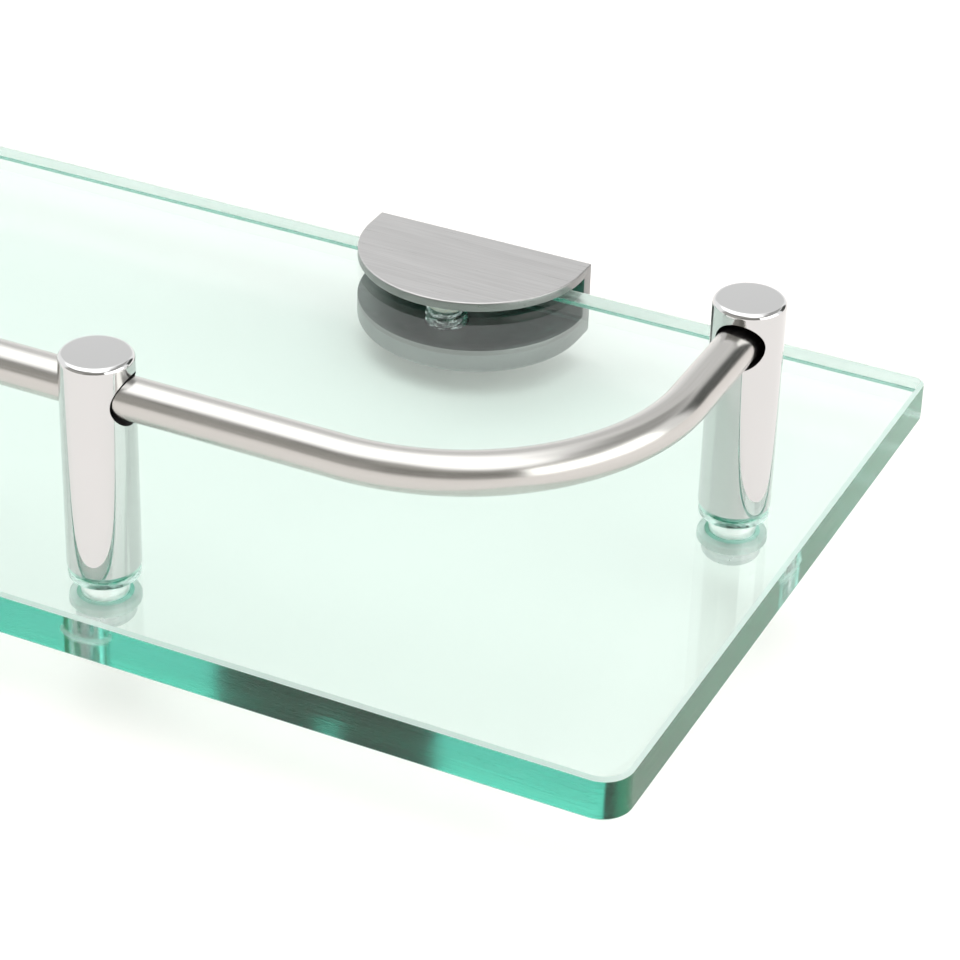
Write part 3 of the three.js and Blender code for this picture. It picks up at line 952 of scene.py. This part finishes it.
def floor():
    """A plain pale floor just below the shelf, out of the loosened screws' way. It is clear
    from below, so the underside can be seen."""
    bm = bmesh.new()
    bmesh.ops.create_grid(bm, x_segments=4, y_segments=4, size=FLOOR_REACH)
    bmesh.ops.translate(bm, verts=bm.verts, vec=(0, 0, CAD_BOX[0].z - FLOOR_BELOW))
    shader = Shader("studio_floor", (0.95, 0.915, 0.90), 0.9)
    paper = shader.noise((3, 3, 3), detail=2)
    shader.set("Base Color", shader.blend(paper, (0.945, 0.91, 0.895), (0.955, 0.92, 0.905)))
    shader.surface.inputs["Specular IOR Level"].default_value = 0
    geometry = shader.nodes.new("ShaderNodeNewGeometry")
    shader.set("Alpha", shader.math("SUBTRACT", 1, geometry.outputs["Backfacing"]))
    make_object("studio_floor", bm, shader.material)


class Sky:
    """The studio around the shelf, as soft cards on a white sky. Azimuth 0 is in front of the
    shelf, 90 to its right and 180 behind the wall; elevation is above the horizon."""

    def __init__(self, brightness):
        world = bpy.data.worlds.new("studio")
        world.use_nodes = True
        bpy.context.scene.world = world
        self.tree = world.node_tree
        self.tree.nodes.clear()
        coordinates = self.tree.nodes.new("ShaderNodeTexCoord")
        self.direction = coordinates.outputs["Generated"]
        split = self.tree.nodes.new("ShaderNodeSeparateXYZ")
        self.tree.links.new(self.direction, split.inputs["Vector"])
        self.height = split.outputs["Z"]
        flat = self.vector("MULTIPLY", self.direction, (1, 1, 0))
        self.compass = self.vector("NORMALIZE", flat, (0, 0, 0))
        self.light = brightness

    def vector(self, operation, source, value):
        """A vector node between an output and a fixed vector."""
        node = self.tree.nodes.new("ShaderNodeVectorMath")
        node.operation = operation
        self.tree.links.new(source, node.inputs[0])
        node.inputs[1].default_value = value
        return node.outputs["Value" if operation == "DOT_PRODUCT" else "Vector"]

    def step(self, source, start, end):
        """0 before start and 1 after end, smoothly between."""
        node = self.tree.nodes.new("ShaderNodeMapRange")
        node.interpolation_type = "SMOOTHSTEP"
        self.tree.links.new(source, node.inputs["Value"])
        node.inputs["From Min"].default_value = start
        node.inputs["From Max"].default_value = end
        return node.outputs["Result"]

    def mix(self, mask, color):
        """Puts a colour over the sky so far, where the mask is 1."""
        node = self.tree.nodes.new("ShaderNodeMix")
        node.data_type = "RGBA"
        self.tree.links.new(mask, node.inputs["Factor"])
        if isinstance(self.light, tuple):
            node.inputs[MIX_FIRST].default_value = (*self.light, 1)
        else:
            self.tree.links.new(self.light, node.inputs[MIX_FIRST])
        node.inputs[MIX_SECOND].default_value = (*color, 1)
        self.light = node.outputs[MIX_RESULT]

    def card(self, azimuth, reach, low, high, soft, color):
        """A card between two elevations, reaching as far to both sides of an azimuth, with
        edges of a softness; all in degrees."""
        a = math.radians(azimuth)
        facing = self.vector("DOT_PRODUCT", self.compass, (math.sin(a), -math.cos(a), 0))
        outer = math.cos(math.radians(min(180, reach + soft / 2)))
        inner = math.cos(math.radians(max(0, reach - soft / 2)))
        across = self.step(facing, outer, inner)
        bottom = self.step(self.height, sine(low - soft / 2), sine(low + soft / 2))
        above = self.step(self.height, sine(high - soft / 2), sine(high + soft / 2))
        band = math_node(self.tree, "SUBTRACT", bottom, above)
        self.mix(math_node(self.tree, "MULTIPLY", across, band), color)

    def spot(self, azimuth, elevation, radius, soft, color):
        """A round card about a direction, in degrees."""
        a, e = math.radians(azimuth), math.radians(elevation)
        centre = (math.sin(a) * math.cos(e), -math.cos(a) * math.cos(e), math.sin(e))
        facing = self.vector("DOT_PRODUCT", self.direction, centre)
        outer = math.cos(math.radians(radius + soft / 2))
        inner = math.cos(math.radians(radius - soft / 2))
        self.mix(self.step(facing, outer, inner), color)

    def finish(self, seen):
        """The camera sees a plain sky of the colour seen; everything else sees the cards."""
        background = self.tree.nodes.new("ShaderNodeBackground")
        path = self.tree.nodes.new("ShaderNodeLightPath")
        self.mix(path.outputs["Is Camera Ray"], seen)
        self.tree.links.new(self.light, background.inputs["Color"])
        output = self.tree.nodes.new("ShaderNodeOutputWorld")
        self.tree.links.new(background.outputs["Background"], output.inputs["Surface"])


def sine(degrees):
    """The height of an elevation, in degrees, on a sky of radius 1."""
    return math.sin(math.radians(max(-90, min(90, degrees))))


def studio():
    """A white room with a bright ceiling, a dim side where the onlooker stands, a bright
    board on the right and a dark gap behind it."""
    sky = Sky((1.2, 1.2, 1.2))
    # The dim side in front, darker where the onlooker stands
    sky.card(-15, 50, -20, 58, 14, (0.50, 0.49, 0.46))
    sky.card(55, 40, -20, 46, 14, (0.50, 0.49, 0.46))
    sky.card(35, 40, 6, 34, 16, (0.30, 0.29, 0.27))
    sky.card(-40, 28, 34, 55, 12, (0.24, 0.23, 0.22))
    # A dim card high behind the right-hand end, the bright board and the dark gap
    sky.card(125, 45, 34, 62, 12, (0.50, 0.50, 0.49))
    sky.card(85, 30, -22, 34, 6, (2.8, 2.8, 2.75))
    sky.card(148, 14, -14, 30, 8, (0.10, 0.105, 0.10))
    # A slightly dimmer part behind the wall, and two soft lamps overhead
    sky.card(-155, 30, 16, 48, 12, (0.92, 0.92, 0.92))
    sky.spot(-85, 72, 30, 18, (2.2, 2.2, 2.2))
    sky.spot(45, 68, 20, 12, (2.2, 2.2, 2.2))
    sky.finish((1.0, 1.0, 1.0))


def camera():
    """The onlooker's camera, off the right-hand front of the shelf and well above it."""
    target = Vector((glass_hi.x - TARGET_FROM_END, glass_lo.y + TARGET_FROM_FRONT, glass_hi.z))
    ca, sa = math.cos(CAMERA_AZIMUTH), math.sin(CAMERA_AZIMUTH)
    ce, se = math.cos(CAMERA_ELEVATION), math.sin(CAMERA_ELEVATION)
    back = Vector((sa * ce, -ca * ce, se))
    level = Vector((ca, sa, 0))
    up = back.cross(level)
    right = level * math.cos(CAMERA_ROLL) + up * math.sin(CAMERA_ROLL)
    top = up * math.cos(CAMERA_ROLL) - level * math.sin(CAMERA_ROLL)
    data = bpy.data.cameras.new("camera")
    data.lens = CAMERA_LENS
    data.sensor_width = CAMERA_SENSOR
    data.clip_start = 0.01
    data.clip_end = 100
    obj = bpy.data.objects.new("camera", data)
    bpy.context.scene.collection.objects.link(obj)
    spot = target + back * CAMERA_DISTANCE
    turn = Matrix((right, top, back)).transposed().to_4x4()
    obj.matrix_world = Matrix.Translation(spot) @ turn
    bpy.context.scene.camera = obj


floor()
studio()
camera()

scene = bpy.context.scene
scene.view_settings.view_transform = "Standard"
scene.view_settings.look = "None"
# Light that has met a dull face still has to find its way through the clear glass
scene.cycles.blur_glossy = 0
scene.cycles.max_bounces = 40
scene.cycles.glossy_bounces = 32
scene.cycles.transmission_bounces = 32
scene.cycles.transparent_max_bounces = 16
scene.cycles.diffuse_bounces = 4
